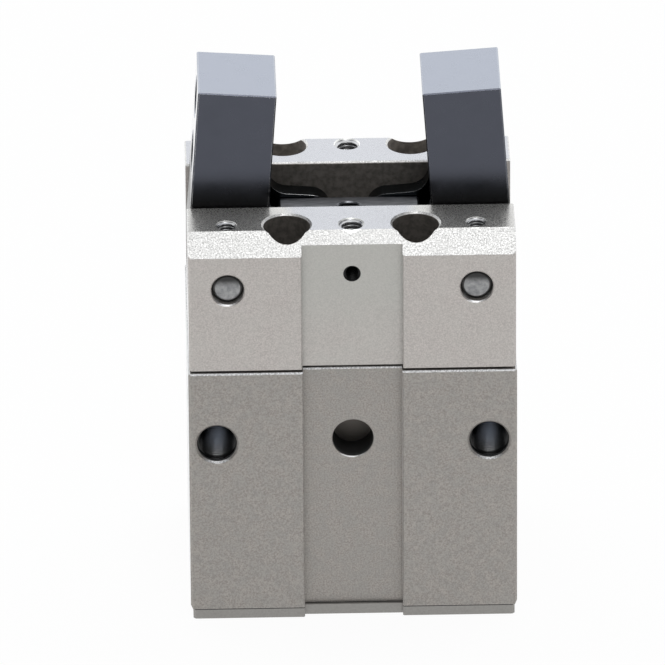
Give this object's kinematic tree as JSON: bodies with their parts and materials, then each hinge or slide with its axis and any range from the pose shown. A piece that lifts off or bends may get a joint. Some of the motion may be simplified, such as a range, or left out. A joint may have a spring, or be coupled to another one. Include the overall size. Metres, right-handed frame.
{
  "type": "two jaw angular gripper",
  "caption": "Pneumatic angular gripper: a split rectangular housing whose top slot holds facing block jaws that swing on cross pins, driven through slotted arms by an enclosed piston.",
  "frame": {"origin": "centre of the mounting face under the bottom cover", "axes": "+Z from the mounting face to the jaws, +X across from the left jaw to the right jaw, -Y out of the front face with the air ports"},
  "size_m": [0.0804, 0.0604, 0.1353],
  "materials": {
    "upper_housing": "hard anodised, satin, with a ground top face",
    "lower_housing": "hard anodised over a blasted surface",
    "cover": "hard anodised",
    "rubber": "moulded",
    "screw": "black oxide",
    "pin": "ground and hardened",
    "bush": "sintered bronze",
    "jaw": "hardened, black oxide",
    "drive_head": "ground and hardened",
    "rod": "ground and polished",
    "piston": "turned",
    "guide_band": "filled PTFE"
  },
  "bodies": {
    "housing": {"upper_housing": "upper_housing", "lower_housing": "lower_housing", "bottom_cover": "cover", "cover_o_ring": "rubber", "cover_screws": "screw", "housing_screws": "screw", "housing_dowels": "pin", "channel_plugs": "screw", "rod_bush": "bush", "rod_seal": "rubber", "rod_wiper": "rubber", "left_pivot_pin": "pin", "right_pivot_pin": "pin"},
    "left_jaw_body": {"left_jaw": "jaw", "left_jaw_bush": "bush"},
    "right_jaw_body": {"right_jaw": "jaw", "right_jaw_bush": "bush"},
    "drive": {"drive_head": "drive_head", "left_drive_pin": "pin", "right_drive_pin": "pin", "piston_rod": "rod", "piston": "piston", "piston_screw": "screw", "piston_guide_band": "guide_band", "upper_piston_seal": "rubber", "lower_piston_seal": "rubber"}
  },
  "joints": [
    {"name": "drive_slide", "type": "slide", "parent": "housing", "child": "drive", "axis": [0, 0, 1], "range_m": [0, 0.0067]},
    {"name": "left_jaw_hinge", "type": "hinge", "parent": "housing", "child": "left_jaw_body", "pos_m": [-0.0304, 0, 0.0906], "axis": [0, -1, 0], "range_deg": [0, 19]},
    {"name": "right_jaw_hinge", "type": "hinge", "parent": "housing", "child": "right_jaw_body", "pos_m": [0.0304, 0, 0.0906], "axis": [0, 1, 0], "range_deg": [0, 19]}
  ],
  "couplings": [
    {"joint": "left_jaw_hinge", "follows": "drive_slide", "rad_per_m": 49.524},
    {"joint": "right_jaw_hinge", "follows": "drive_slide", "rad_per_m": 49.524}
  ]
}
